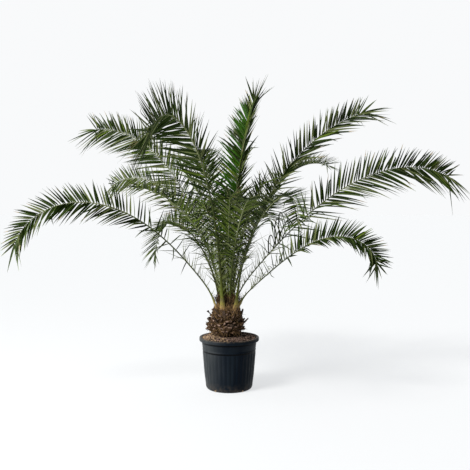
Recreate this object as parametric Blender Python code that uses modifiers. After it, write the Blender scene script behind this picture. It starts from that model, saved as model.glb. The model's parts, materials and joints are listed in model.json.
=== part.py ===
"""Canary Island date palm in a black nursery pot: a young plant with a short, stout trunk of cut
leaf bases and a wide crown of arching fronds. Metres, +Z up. The origin is the middle of the
pot's flat underside. Azimuths are degrees from +X, anticlockwise seen from above."""

import math
import random
from collections import namedtuple

import bmesh
import bpy
from mathutils import Matrix, Vector
from mathutils.bvhtree import BVHTree

GAP = 0.0003  # between pieces that touch

# Nursery pot of about 50 litres
POT_HEIGHT = 0.400
RIM_RADIUS = 0.230
RIM_DEPTH = 0.030
RIM_ROUND = 0.005
BAND_RADIUS = 0.209  # smooth band under the rim
LEDGE_HEIGHT = 0.302  # where the band steps in to the ribbed wall
LEDGE_STEP = 0.006
CORNER_RADIUS = 0.181
CORNER_HEIGHT = 0.034
CORNER_STEPS = 3
FOOT_RADIUS = 0.160
WALL = 0.003
POT_SIDES = 72
RIB_OUT = 0.0025  # every second edge of the ribbed wall stands out this far
DRAINS = 5
DRAIN_RADIUS = 0.008
DRAIN_AZIMUTH = 234
DRAIN_CUTTER = 0.080

# Root ball that fills the pot, mounded to the foot of the trunk
SOIL_SIDES = 36
SOIL_EDGE_HEIGHT = 0.392
SOIL_SHOULDER = (0.188, 0.401)
SOIL_TOP = 0.410
SOIL_MOUND_RADIUS = 0.150

# Trunk of cut leaf bases. It stands off the pot's middle and leans back towards it.
TRUNK_FOOT_X = -0.034
TRUNK_TOP_X = -0.010
TRUNK_HEIGHT = 0.240
TRUNK_FOOT_RADIUS = 0.094
TRUNK_WIDEST = 0.127
TRUNK_WIDEST_SHARE = 0.32  # of its height
TRUNK_TOP_RADIUS = 0.076
TRUNK_TAPER = 0.8  # below 1 it stays thick for longer
TRUNK_COLUMNS = 18
TRUNK_ROWS = 7
BOOT_OUT = (0.010, 0.020)
BOOT_RISE = 0.016
BOOT_TAPER = 0.55
LONG_BOOTS = 0.12  # share of the boots that were cut long
LONG_BOOT = 2.0
SHEATH_LENGTH = 0.130
SHEATH_FOOT = 0.030
SHEATH_SIDES = 7
SHEATH_FLARE = 1.2  # its end is this much wider than the stalk

# Fronds. A ring is where the live leaf bases leave the trunk: their distance from its middle,
# their height, the half width of the leaf stalk there, and how far towards upright it starts. The
# older a ring, the more degrees its leaflets lean out from the rib.
Ring = namedtuple("Ring", "radius height stalk heel lean")
OUTER = Ring(0.098, 0.660, 0.018, 0.55, 60)
MIDDLE = Ring(0.062, 0.680, 0.0135, 0.55, 52)
INNER = Ring(0.034, 0.700, 0.011, 0, 50)
HEEL_SHARE = 0.14  # of a frond's length, over which it bends out of its steeper start

# A frond rises at the angle rise above level and ends at the angle tip; the higher its arch, the
# longer it stays straight. By its tip it has turned through sweep, and by the share twist of its
# length its upper face has rolled over by roll. Its first leaflets stand lift degrees above that
# face, its last lean fan degrees out from the rib, and its longest have the length leaflet.
Frond = namedtuple("Frond", "name ring azimuth sweep rise tip length arch roll twist lift fan leaflet")
FRONDS = (
    Frond("left_low", OUTER, 185, 0, 52, -72, 1.96, 2.25, -62, 0.5, 30, 50, 0.22),
    Frond("right_low", OUTER, 340, 0, 42, -86, 1.33, 3.45, 50, 0.5, 42, 50, 0.20),
    Frond("front_left", OUTER, 245, 15, 81, -47, 2.19, 2.10, 84, 1.0, 38, 80, 0.30),
    Frond("front_right", OUTER, 312, -47, 79, -56, 1.60, 1.70, 10, 0.5, 24, 50, 0.15),
    Frond("left_drooping", OUTER, 130, -25, 67, -69, 1.61, 1.45, -40, 0.5, 45, 30, 0.19),
    Frond("back_low_left", OUTER, 102, 0, 58, -50, 1.80, 1.80, 0, 0.5, 24, 50, 0.23),
    Frond("back_low_right", OUTER, 74, 0, 60, -48, 1.75, 1.80, 0, 0.5, 24, 50, 0.23),
    Frond("right_long", MIDDLE, 5, 20, 50, -25, 2.22, 2.20, 62, 0.5, 22, 46, 0.28),
    Frond("right_small", MIDDLE, 55, -20, 58, -15, 1.78, 2.90, -10, 0.5, 55, 46, 0.18),
    Frond("back_middle", MIDDLE, 105, 0, 72, -6, 1.95, 1.60, 0, 0.5, 24, 46, 0.24),
    Frond("left_middle", MIDDLE, 165, -30, 79, -30, 1.63, 1.70, -72, 0.5, 16, 46, 0.20),
    Frond("front_young_left", MIDDLE, 218, 10, 78, 5, 1.25, 1.40, 0, 0.5, 34, 46, 0.17),
    Frond("front_young_right", MIDDLE, 284, -10, 78, 0, 1.20, 1.30, 0, 0.5, 34, 46, 0.16),
    Frond("left_high", INNER, 150, 0, 70, -4, 2.00, 2.10, -72, 0.5, 20, 44, 0.26),
    Frond("right_high", INNER, 20, 0, 75, 17, 1.95, 1.50, 52, 0.6, 46, 40, 0.26),
    Frond("back_high", INNER, 62, -45, 83, 66, 1.56, 4.00, 0, 0.5, 30, 40, 0.28),
    Frond("young_front", INNER, 272, 0, 84, 20, 1.00, 1.20, 0, 0.5, 34, 44, 0.17),
    Frond("young_left", INNER, 214, 0, 85, 45, 1.10, 1.50, 0, 0.5, 34, 44, 0.18),
    Frond("young_right", INNER, 332, 0, 83, 58, 0.93, 1.50, 0, 0.5, 34, 44, 0.20),
)
SPEAR_LENGTH = 0.85  # the youngest frond, still folded, in the middle
SPEAR_HEIGHT = 0.700
SPEAR_STATIONS = 8
SPEAR_RADIUS = 0.010

STALK_SHARE = 0.20  # bare foot of a frond
STALK_STEP = 0.095
STALK_TAPER = 0.62  # half width at the end of the bare foot, as a share of that at the seat
LEAFLET_STEP = 0.055
RIB_END = 0.0028
RIB_THICKNESS = 0.72  # of its width
LEAFLET_SWELL = (0.80, 0.35)  # share of the full length at the first leaflet, and where it is full
LEAFLET_FALL = 0.12  # share of the full length that is lost by the last leaflet
LEAFLET_SAG = 0.30  # how far a leaflet of one metre would hang
LEAFLET_SPREAD = 0.07  # random share of its length
LEAN_LATE = 5  # how late along a frond its leaflets turn from the ring's lean to its own fan
LIFT_FALL = 0.5  # share of its lift that a frond loses by the tip
HANGING_LONGER = 0.14  # share by which the lower row of a frond turned on edge is longer
LEAFLET_CLEARANCE = 0.003
SHORTENED = (1.0, 0.8, 0.6, 0.42)
WIDEST_BEND = 78  # degrees: a frond that bends more is made in two lengths
SEED = 11


def clear_scene():
    for thing in list(bpy.data.objects):
        bpy.data.objects.remove(thing, do_unlink=True)


def new_collection(name):
    collection = bpy.data.collections.new(name)
    bpy.context.scene.collection.children.link(collection)
    return collection


def plain_material(name, colour, roughness):
    material = bpy.data.materials.new(name)
    material.use_nodes = True
    shader = material.node_tree.nodes["Principled BSDF"]
    shader.inputs["Base Color"].default_value = (*colour, 1)
    shader.inputs["Roughness"].default_value = roughness
    shader.inputs["Metallic"].default_value = 0
    return material


def new_object(name, mesh, collection):
    thing = bpy.data.objects.new(name, mesh)
    collection.objects.link(thing)
    return thing


def finish(thing, material, sharp_angle=35):
    thing.data.materials.clear()
    thing.data.materials.append(material)
    thing.data.shade_smooth()
    thing.data.set_sharp_from_angle(angle=math.radians(sharp_angle))


def mesh_of(shape, name):
    bmesh.ops.recalc_face_normals(shape, faces=shape.faces)
    mesh = bpy.data.meshes.new(name)
    shape.to_mesh(mesh)
    shape.free()
    return mesh


def apply_modifiers(thing):
    graph = bpy.context.evaluated_depsgraph_get()
    mesh = bpy.data.meshes.new_from_object(thing.evaluated_get(graph))
    thing.modifiers.clear()
    thing.data = mesh


def turned(name, profile, sides, collection):
    """A closed profile of (radius, height) points, down its outer side first, turned about Z."""
    count = len(profile)
    edges = [(i, (i + 1) % count) for i in range(count)]
    off_axis = [(a, b) for a, b in edges if profile[a][0] > 0 or profile[b][0] > 0]
    mesh = bpy.data.meshes.new(name)
    mesh.from_pydata([(radius, 0, height) for radius, height in profile], off_axis, [])
    thing = new_object(name, mesh, collection)
    screw = thing.modifiers.new("turn", "SCREW")
    screw.steps = sides
    screw.render_steps = sides
    screw.use_merge_vertices = True
    screw.merge_threshold = 0.0001
    apply_modifiers(thing)
    return thing


def join(thing, operation, tools):
    """One Boolean with every object of a collection, which are then removed."""
    boolean = thing.modifiers.new(operation.lower(), "BOOLEAN")
    boolean.operation = operation
    boolean.operand_type = "COLLECTION"
    boolean.collection = tools
    boolean.solver = "EXACT"
    apply_modifiers(thing)
    for tool in list(tools.objects):
        bpy.data.objects.remove(tool, do_unlink=True)


def helper(name, mesh, tools, place):
    thing = new_object(name, mesh, tools)
    thing.matrix_world = place
    thing.hide_render = True
    thing.display_type = "WIRE"
    return thing


def cone(name, radii, length, sides, tools, place):
    shape = bmesh.new()
    bmesh.ops.create_cone(
        shape, cap_ends=True, segments=sides, radius1=radii[0], radius2=radii[1], depth=length
    )
    return helper(name, mesh_of(shape, name), tools, place)


def wall_radius(height):
    """Outer radius of the ribbed wall, from the corner up to the ledge."""
    share = (height - CORNER_HEIGHT) / (LEDGE_HEIGHT - CORNER_HEIGHT)
    return CORNER_RADIUS + (BAND_RADIUS - LEDGE_STEP - CORNER_RADIUS) * share


def hollow(clearance):
    """The space in the pot below its mouth, from the ledge down to the middle of the floor."""
    step = LEDGE_HEIGHT - LEDGE_STEP
    inset = WALL + clearance
    return [
        (BAND_RADIUS - inset, LEDGE_HEIGHT),
        (wall_radius(step) - inset, step),
        (CORNER_RADIUS - inset, CORNER_HEIGHT),
        (FOOT_RADIUS, inset),
        (0, inset),
    ]


def make_pot(collection, cutters):
    corner = []
    for i in range(CORNER_STEPS + 1):
        turn = math.radians(90 * i / CORNER_STEPS)
        radius = FOOT_RADIUS + (CORNER_RADIUS - FOOT_RADIUS) * math.cos(turn)
        corner.append((radius, CORNER_HEIGHT * (1 - math.sin(turn))))
    outside = [
        (BAND_RADIUS - WALL, POT_HEIGHT),
        (RIM_RADIUS - RIM_ROUND, POT_HEIGHT),
        (RIM_RADIUS, POT_HEIGHT - RIM_ROUND),
        (RIM_RADIUS, POT_HEIGHT - RIM_DEPTH + RIM_ROUND),
        (RIM_RADIUS - RIM_ROUND, POT_HEIGHT - RIM_DEPTH),
        (BAND_RADIUS, POT_HEIGHT - RIM_DEPTH),
        (BAND_RADIUS, LEDGE_HEIGHT),
        (wall_radius(LEDGE_HEIGHT - LEDGE_STEP), LEDGE_HEIGHT - LEDGE_STEP),
        *corner,
        (0, 0),
    ]
    pot = turned("pot", outside + hollow(0)[::-1], POT_SIDES, collection)
    side = math.tau / POT_SIDES
    for vertex in pot.data.vertices:
        radius = math.hypot(vertex.co.x, vertex.co.y)
        ribbed = CORNER_HEIGHT - GAP < vertex.co.z < LEDGE_HEIGHT - GAP
        stands_out = round(math.atan2(vertex.co.y, vertex.co.x) / side) % 2 == 0
        if ribbed and stands_out and radius > wall_radius(vertex.co.z) - WALL / 2:
            vertex.co.xy *= (radius + RIB_OUT) / radius
    for i in range(DRAINS):
        azimuth = math.radians(DRAIN_AZIMUTH + 360 * i / DRAINS)
        across = Matrix.Rotation(azimuth, 4, "Z") @ Matrix.Rotation(math.radians(90), 4, "Y")
        out = Vector((math.cos(azimuth), math.sin(azimuth), 0)) * CORNER_RADIUS
        place = Matrix.Translation(out + Vector((0, 0, CORNER_HEIGHT / 3))) @ across
        cone(f"drain_{i + 1}", (DRAIN_RADIUS, DRAIN_RADIUS), DRAIN_CUTTER, 10, cutters, place)
    join(pot, "DIFFERENCE", cutters)
    finish(pot, plain_material("black_plastic", (0.022, 0.028, 0.034), 0.5))


def make_soil(collection):
    profile = [
        (0, SOIL_TOP),
        (SOIL_MOUND_RADIUS, SOIL_TOP),
        SOIL_SHOULDER,
        (BAND_RADIUS - WALL - GAP, SOIL_EDGE_HEIGHT),
        *hollow(GAP),
    ]
    soil = turned("soil", profile, SOIL_SIDES, collection)
    finish(soil, plain_material("bark_compost", (0.18, 0.13, 0.08), 0.95))


def trunk_radius(share):
    """Radius of the trunk between its boots, at this share of its height."""
    if share < TRUNK_WIDEST_SHARE:
        swell = math.sin(math.pi / 2 * share / TRUNK_WIDEST_SHARE)
        return TRUNK_FOOT_RADIUS + (TRUNK_WIDEST - TRUNK_FOOT_RADIUS) * swell
    left = (1 - share) / (1 - TRUNK_WIDEST_SHARE)
    return TRUNK_TOP_RADIUS + (TRUNK_WIDEST - TRUNK_TOP_RADIUS) * left**TRUNK_TAPER


def trunk_middle(height):
    """X of the leaning trunk's middle at this height."""
    share = (height - SOIL_TOP) / TRUNK_HEIGHT
    return TRUNK_FOOT_X + (TRUNK_TOP_X - TRUNK_FOOT_X) * min(1, share)


def make_trunk(collection, tools, seats):
    foot = SOIL_TOP + GAP
    sides = []
    for row in range(TRUNK_ROWS, -1, -1):
        share = row / TRUNK_ROWS
        sides.append((trunk_radius(share), foot + TRUNK_HEIGHT * share))
    profile = [(0, foot + TRUNK_HEIGHT), *sides, (0, foot)]
    trunk = turned("trunk", profile, TRUNK_COLUMNS, collection)

    chance = random.Random(SEED)
    shape = bmesh.new()
    shape.from_mesh(trunk.data)
    boots = []
    for face in shape.faces:
        middle = face.calc_center_median()
        column = math.floor(math.atan2(middle.y, middle.x) / math.tau * TRUNK_COLUMNS)
        row = math.floor((middle.z - foot) / TRUNK_HEIGHT * TRUNK_ROWS)
        if abs(face.normal.z) < 0.9 and (column + row) % 2 == 0:
            boots.append(face)
    for face in bmesh.ops.extrude_discrete_faces(shape, faces=boots)["faces"]:
        middle = face.calc_center_median()
        out = chance.uniform(*BOOT_OUT)
        if chance.random() < LONG_BOOTS:
            out *= LONG_BOOT
        move = Vector((middle.x, middle.y, 0)).normalized() * out + Vector((0, 0, BOOT_RISE))
        for vertex in face.verts:
            vertex.co = middle + (vertex.co - middle) * BOOT_TAPER + move
    for vertex in shape.verts:
        vertex.co.x += trunk_middle(vertex.co.z)
    shape.to_mesh(trunk.data)
    shape.free()

    for i, (seat, half_width) in enumerate(seats):
        place = seat @ Matrix.Translation((0, 0, -GAP - SHEATH_LENGTH / 2))
        radii = (SHEATH_FOOT, half_width * SHEATH_FLARE)
        cone(f"sheath_{i + 1}", radii, SHEATH_LENGTH, SHEATH_SIDES, tools, place)
    join(trunk, "UNION", tools)
    finish(trunk, plain_material("cut_leaf_bases", (0.11, 0.07, 0.035), 0.9))
    return trunk


def frame_at(frond, share):
    """Axes of the frond at this share of its length: its left, its upper face, and along it."""
    heel = frond.ring.heel * (90 - frond.rise) * max(0, 1 - share / HEEL_SHARE) ** 2
    lean = math.radians(frond.rise + heel + (frond.tip - frond.rise) * share**frond.arch)
    heading = math.radians(frond.azimuth + frond.sweep * share**2)
    away = Vector((math.cos(heading), math.sin(heading), 0))
    along = away * math.cos(lean) + Vector((0, 0, math.sin(lean)))
    left = Vector((-math.sin(heading), math.cos(heading), 0))
    axes = Matrix((left, along.cross(left), along)).transposed()
    return axes @ Matrix.Rotation(math.radians(frond.roll) * min(1, share / frond.twist), 3, "Z")


def seat_of(frond):
    azimuth = math.radians(frond.azimuth)
    out = Vector((math.cos(azimuth), math.sin(azimuth), 0)) * frond.ring.radius
    return out + Vector((TRUNK_TOP_X, 0, frond.ring.height))


def half_width(frond, share):
    """Half the width of the stalk or rib at this share of the frond's length."""
    shoulder = frond.ring.stalk * STALK_TAPER
    if share < STALK_SHARE:
        return frond.ring.stalk + (shoulder - frond.ring.stalk) * share / STALK_SHARE
    return shoulder + (RIB_END - shoulder) * (share - STALK_SHARE) / (1 - STALK_SHARE)


def stations_of(frond):
    """(share of the length, frame) of each station along the frond, from its seat."""
    bare = math.ceil(frond.length * STALK_SHARE / STALK_STEP)
    leafy = round(frond.length * (1 - STALK_SHARE) / LEAFLET_STEP)
    shares = [STALK_SHARE * i / bare for i in range(bare)]
    shares += [STALK_SHARE + (1 - STALK_SHARE) * i / leafy for i in range(leafy + 1)]
    place = seat_of(frond)
    stations = []
    for i, share in enumerate(shares):
        if i:
            middle = (share + shares[i - 1]) / 2
            place = place + frame_at(frond, middle).col[2] * (share - shares[i - 1]) * frond.length
        stations.append((share, Matrix.Translation(place) @ frame_at(frond, share).to_4x4()))
    return stations


def section(frame, width):
    return frame @ Matrix.Diagonal((width, width * RIB_THICKNESS, 1, 1))


def draw_out(shape, sections):
    """A limb of four faces, its end face drawn out from section to section. Returns the two upper
    faces of each length, left then right."""
    bmesh.ops.create_circle(shape, cap_ends=True, segments=4, radius=1, matrix=sections[0])
    shape.faces.ensure_lookup_table()
    foot = end = shape.faces[0]
    upper = []
    for here, there in zip(sections, sections[1:]):
        grown = bmesh.ops.extrude_face_region(shape, geom=[end])["geom"]
        corners = [part for part in grown if isinstance(part, bmesh.types.BMVert)]
        bmesh.ops.transform(shape, matrix=there @ here.inverted(), verts=corners)
        if end is not foot:
            bmesh.ops.delete(shape, geom=[end], context="FACES_ONLY")
        end = next(part for part in grown if isinstance(part, bmesh.types.BMFace))
        sides = {face for corner in corners for face in corner.link_faces} - {end}
        middle = here.lerp(there, 0.5).inverted()
        facing_up = [face for face in sides if (middle @ face.calc_center_median()).y > 0]
        upper.append(sorted(facing_up, key=lambda face: -(middle @ face.calc_center_median()).x))
    return upper


def leaflet_length(frond, share, side):
    leafy = (share - STALK_SHARE) / (1 - STALK_SHARE)
    first, full = LEAFLET_SWELL
    longest = frond.leaflet * (1 - HANGING_LONGER * side * math.sin(math.radians(frond.roll)))
    if leafy < full:
        return longest * (first + (1 - first) * math.sin(math.pi / 2 * leafy / full))
    return longest * (1 - LEAFLET_FALL * ((leafy - full) / (1 - full)) ** 1.5)


def leaflet_reach(frond, frame, share, side, length):
    """From a leaflet's foot to its tip: out to its side, raised, and bent down by its weight."""
    leafy = (share - STALK_SHARE) / (1 - STALK_SHARE)
    lean = math.radians(frond.ring.lean + (frond.fan - frond.ring.lean) * leafy**LEAN_LATE)
    lift = math.radians(frond.lift * (1 - LIFT_FALL * leafy**2))
    across = Vector((side * math.cos(lift), math.sin(lift), 0)) * math.sin(lean)
    reach = frame.to_3x3() @ (across + Vector((0, 0, math.cos(lean)))) * length
    return reach - Vector((0, 0, LEAFLET_SAG * length**2))


def is_clear(face, reach, others):
    """Whether a leaflet, with its clearance, stays off everything that is already there."""
    middle = face.calc_center_median()
    foot = [corner.co + (corner.co - middle).normalized() * LEAFLET_CLEARANCE for corner in face.verts]
    tip = [middle + reach + (corner - middle).normalized() * LEAFLET_CLEARANCE for corner in foot]
    around = [(i, (i + 1) % 4, 4 + (i + 1) % 4, 4 + i) for i in range(4)]
    leaflet = BVHTree.FromPolygons(foot + tip, around + [(0, 1, 2, 3), (4, 5, 6, 7)])
    return not any(leaflet.overlap(other) for other in others)


def add_leaflets(shape, frond, stations, upper, others, chance):
    """A pointed blade drawn out of each upper face of the leafy part, where there is room."""
    for i, faces in enumerate(upper):
        share, frame = stations[i]
        if share < STALK_SHARE - GAP:
            continue
        for side, face in zip((1, -1), faces):
            length = leaflet_length(frond, share, side) * (1 + chance.uniform(-1, 1) * LEAFLET_SPREAD)
            for shortened in SHORTENED:
                reach = leaflet_reach(frond, frame, share, side, length * shortened)
                if is_clear(face, reach, others):
                    tip = face.calc_center_median() + reach
                    blade = bmesh.ops.extrude_discrete_faces(shape, faces=[face])["faces"][0]
                    bmesh.ops.pointmerge(shape, verts=blade.verts[:], merge_co=tip)
                    break


def lengths_of(frond):
    """The frond as one or two lengths, (node name, stations) each, parted at its bend."""
    stations = stations_of(frond)
    name = f"frond_{frond.name}"
    if frond.rise - frond.tip <= WIDEST_BEND:
        return [(name, stations)]
    bend = 0.5 ** (1 / frond.arch)
    parting = min(range(len(stations)), key=lambda i: abs(stations[i][0] - bend))
    share, frame = stations[parting]
    parted = (share, frame @ Matrix.Translation((0, 0, GAP)))
    return [
        (name + "_foot", stations[: parting + 1]),
        (name + "_end", [parted, *stations[parting + 1 :]]),
    ]


def make_fronds(collection, trunk):
    ribs = []
    for frond in FRONDS:
        for name, stations in lengths_of(frond):
            shape = bmesh.new()
            upper = draw_out(shape, [section(frame, half_width(frond, share)) for share, frame in stations])
            ribs.append((name, frond, stations, shape, upper))
    trees = {name: BVHTree.FromBMesh(shape) for name, _, _, shape, _ in ribs}
    trunk_shape = bmesh.new()
    trunk_shape.from_mesh(trunk.data)
    trees["trunk"] = BVHTree.FromBMesh(trunk_shape)
    trunk_shape.free()
    chance = random.Random(SEED)
    leaf = plain_material("frond_green", (0.055, 0.085, 0.022), 0.5)
    for name, frond, stations, shape, upper in ribs:
        own = f"frond_{frond.name}"
        others = [tree for key, tree in trees.items() if not key.startswith(own)]
        add_leaflets(shape, frond, stations, upper, others, chance)
        trees[name] = BVHTree.FromBMesh(shape)
        thing = new_object(name, mesh_of(shape, name), collection)
        finish(thing, leaf)


def make_spear(collection):
    sections = []
    for i in range(SPEAR_STATIONS):
        share = i / (SPEAR_STATIONS - 1)
        width = SPEAR_RADIUS + (RIB_END - SPEAR_RADIUS) * share
        place = Matrix.Translation((TRUNK_TOP_X, 0, SPEAR_HEIGHT + SPEAR_LENGTH * share))
        sections.append(section(place, width))
    shape = bmesh.new()
    draw_out(shape, sections)
    spear = new_object("frond_spear", mesh_of(shape, "frond_spear"), collection)
    finish(spear, plain_material("young_green", (0.13, 0.19, 0.05), 0.5))


clear_scene()
palm = new_collection("canary_island_date_palm")
tools = new_collection("cutters")
make_pot(palm, tools)
make_soil(palm)
seats = [(stations_of(frond)[0][1], frond.ring.stalk) for frond in FRONDS]
seats.append((Matrix.Translation((TRUNK_TOP_X, 0, SPEAR_HEIGHT)), SPEAR_RADIUS))
trunk = make_trunk(palm, tools, seats)
make_fronds(palm, trunk)
make_spear(palm)
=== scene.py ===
"""Looks of a potted Canary Island date palm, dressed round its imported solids. Metres, +Z up, and
the camera stands on the -Y side. Azimuths are degrees from +X, anticlockwise seen from above."""

import json
import math
import random
from collections import namedtuple

import bmesh
import bpy
from mathutils import Matrix, Vector, noise

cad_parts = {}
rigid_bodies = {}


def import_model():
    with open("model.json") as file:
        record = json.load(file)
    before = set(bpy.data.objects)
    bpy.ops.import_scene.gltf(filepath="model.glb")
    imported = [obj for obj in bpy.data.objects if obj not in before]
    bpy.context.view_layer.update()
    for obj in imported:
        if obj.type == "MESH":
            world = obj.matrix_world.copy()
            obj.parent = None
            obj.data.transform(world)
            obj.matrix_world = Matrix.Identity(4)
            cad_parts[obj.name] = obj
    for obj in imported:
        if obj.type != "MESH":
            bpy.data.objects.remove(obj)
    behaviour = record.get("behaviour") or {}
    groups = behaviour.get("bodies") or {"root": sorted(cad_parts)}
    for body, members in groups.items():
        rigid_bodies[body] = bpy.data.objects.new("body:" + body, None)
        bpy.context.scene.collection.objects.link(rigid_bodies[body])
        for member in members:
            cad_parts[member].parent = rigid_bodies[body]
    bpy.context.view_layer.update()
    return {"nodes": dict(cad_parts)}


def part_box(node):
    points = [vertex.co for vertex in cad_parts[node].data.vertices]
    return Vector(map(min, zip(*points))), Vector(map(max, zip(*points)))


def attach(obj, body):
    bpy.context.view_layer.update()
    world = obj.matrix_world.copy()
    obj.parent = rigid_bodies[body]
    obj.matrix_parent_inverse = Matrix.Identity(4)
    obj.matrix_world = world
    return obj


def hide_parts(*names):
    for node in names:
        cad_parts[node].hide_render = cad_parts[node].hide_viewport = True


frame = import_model()

# The pot: a black nursery container blown from one sheet of plastic, with a rolled rim, a smooth
# band that steps in twice, a wall of upright flutes, and drain holes through its bottom corner.
pot_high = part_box("pot")[1]
RIM_RADIUS = pot_high.x
RIM_HEIGHT = pot_high.z
RIM_DEPTH = 0.030
RIM_ROUND = 0.007
BAND_RADIUS = 0.209
BAND_STEPS = (0.3400, 0.3215)  # heights where the band steps in
BAND_STEP = 0.0020
LEDGE_HEIGHT = 0.302
LEDGE_STEP = 0.006
LEDGE_BEAD = 0.008
CORNER_RADIUS = 0.181
CORNER_HEIGHT = 0.034
FOOT_RADIUS = 0.160
FOOT_RISE = 0.003
WALL = 0.003
POT_SIDES = 288
FLUTES = 36
FLUTE_OUT = 0.0036
FLUTE_FADES = (0.020, 0.110)  # heights over which the flutes end, at the ledge and the corner
DRAINS = 5
DRAIN_RADIUS = 0.008
DRAIN_AZIMUTH = 234
DRILL_LENGTH = 0.080
PAINTED_SHADE_HEIGHTS = ((0.292, 0.301), (0.359, 0.371))  # bands of painted shade, under the ledge and under the rim
CRUMBS = 90


def new_object(name, data):
    thing = bpy.data.objects.new(name, data)
    bpy.context.scene.collection.objects.link(thing)
    return thing


def mesh_of(name, shape):
    """The mesh of a finished bmesh, with its faces turned outwards."""
    bmesh.ops.recalc_face_normals(shape, faces=shape.faces)
    mesh = bpy.data.meshes.new(name)
    shape.to_mesh(mesh)
    shape.free()
    return mesh


def outward(turn):
    return Vector((math.cos(turn), math.sin(turn), 0))


def turned(name, profile, sides):
    """A closed mesh: a profile of (radius, height) points, down its outer side first, turned."""
    count = len(profile)
    edges = [(i, (i + 1) % count) for i in range(count)]
    off_axis = [(a, b) for a, b in edges if profile[a][0] > 0 or profile[b][0] > 0]
    mesh = bpy.data.meshes.new(name)
    mesh.from_pydata([(radius, 0, height) for radius, height in profile], off_axis, [])
    thing = new_object(name, mesh)
    screw = thing.modifiers.new("turn", "SCREW")
    screw.steps = sides
    screw.render_steps = sides
    screw.use_merge_vertices = True
    screw.merge_threshold = 0.00002
    settle(thing)
    return thing


def settle(thing):
    """Turns an object's modifiers into its plain mesh."""
    graph = bpy.context.evaluated_depsgraph_get()
    mesh = bpy.data.meshes.new_from_object(thing.evaluated_get(graph))
    thing.modifiers.clear()
    thing.data = mesh


def smooth(thing, angle):
    thing.data.shade_smooth()
    thing.data.set_sharp_from_angle(angle=math.radians(angle))


def arc(middle, radius, start, end, steps):
    """Points of a round corner, from one angle to the other, in degrees."""
    turns = [math.radians(start + (end - start) * i / steps) for i in range(steps + 1)]
    return [(middle[0] + radius * math.cos(t), middle[1] + radius * math.sin(t)) for t in turns]


def rod(sides, foot, tip, length=1, **more):
    """A closed cylinder or cone along Z, round the origin."""
    shape = bmesh.new()
    size = {"segments": sides, "radius1": foot, "radius2": tip, "depth": length}
    bmesh.ops.create_cone(shape, cap_ends=True, **size, **more)
    return shape


def ease(value, low, high):
    share = min(1, max(0, (value - low) / (high - low)))
    return share * share * (3 - 2 * share)


def add_node(tree, kind, inputs=None, **settings):
    """A node with its settings, its values and its links, by the names of its inputs."""
    made = tree.nodes.new(kind)
    for key, value in settings.items():
        setattr(made, key, value)
    for key, value in (inputs or {}).items():
        if isinstance(value, bpy.types.NodeSocket):
            tree.links.new(value, made.inputs[key])
        else:
            made.inputs[key].default_value = value
    return made


def new_material(name, colour, roughness, specular):
    material = bpy.data.materials.new(name)
    material.use_nodes = True
    shader = material.node_tree.nodes["Principled BSDF"]
    shader.inputs["Base Color"].default_value = (*colour, 1)
    shader.inputs["Roughness"].default_value = roughness
    shader.inputs["Specular IOR Level"].default_value = specular
    material.diffuse_color = (*colour, 1)
    return material, material.node_tree, shader


def ranged(tree, value, low, high, start=0.0, end=1.0):
    """Runs from start to end while the given value runs from low to high."""
    inputs = {"Value": value, "From Min": low, "From Max": high, "To Min": start, "To Max": end}
    return add_node(tree, "ShaderNodeMapRange", inputs).outputs["Result"]


def blotches(tree, scale, low, high, detail=4, stretch=(1, 1, 1)):
    """A value from 0 to 1 that varies over the surface; low and high set its contrast."""
    place = add_node(tree, "ShaderNodeTexCoord").outputs["Object"]
    place = add_node(tree, "ShaderNodeMapping", {"Vector": place, "Scale": stretch}).outputs["Vector"]
    inputs = {"Vector": place, "Scale": scale, "Detail": detail}
    return ranged(tree, add_node(tree, "ShaderNodeTexNoise", inputs).outputs["Fac"], low, high)


def mixed(tree, share, one, other):
    """The first colour or socket where share is 0, and the other where it is 1."""
    mix = add_node(tree, "ShaderNodeMix", data_type="RGBA")
    for index, value in ((0, share), (6, one), (7, other)):
        if isinstance(value, bpy.types.NodeSocket):
            tree.links.new(value, mix.inputs[index])
        else:
            mix.inputs[index].default_value = (*value, 1) if isinstance(value, tuple) else value
    return mix.outputs[2]


def product(tree, one, other):
    return add_node(tree, "ShaderNodeMath", {0: one, 1: other}, operation="MULTIPLY").outputs[0]


def bumped(tree, shader, height, strength, distance):
    inputs = {"Height": height, "Strength": strength, "Distance": distance}
    bump = add_node(tree, "ShaderNodeBump", inputs)
    tree.links.new(bump.outputs["Normal"], shader.inputs["Normal"])


def cover(thing, material):
    thing.data.materials.clear()
    thing.data.materials.append(material)


def wall_radius(height):
    share = (height - CORNER_HEIGHT) / (LEDGE_HEIGHT - CORNER_HEIGHT)
    return CORNER_RADIUS + (BAND_RADIUS - LEDGE_STEP - CORNER_RADIUS) * share


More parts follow.
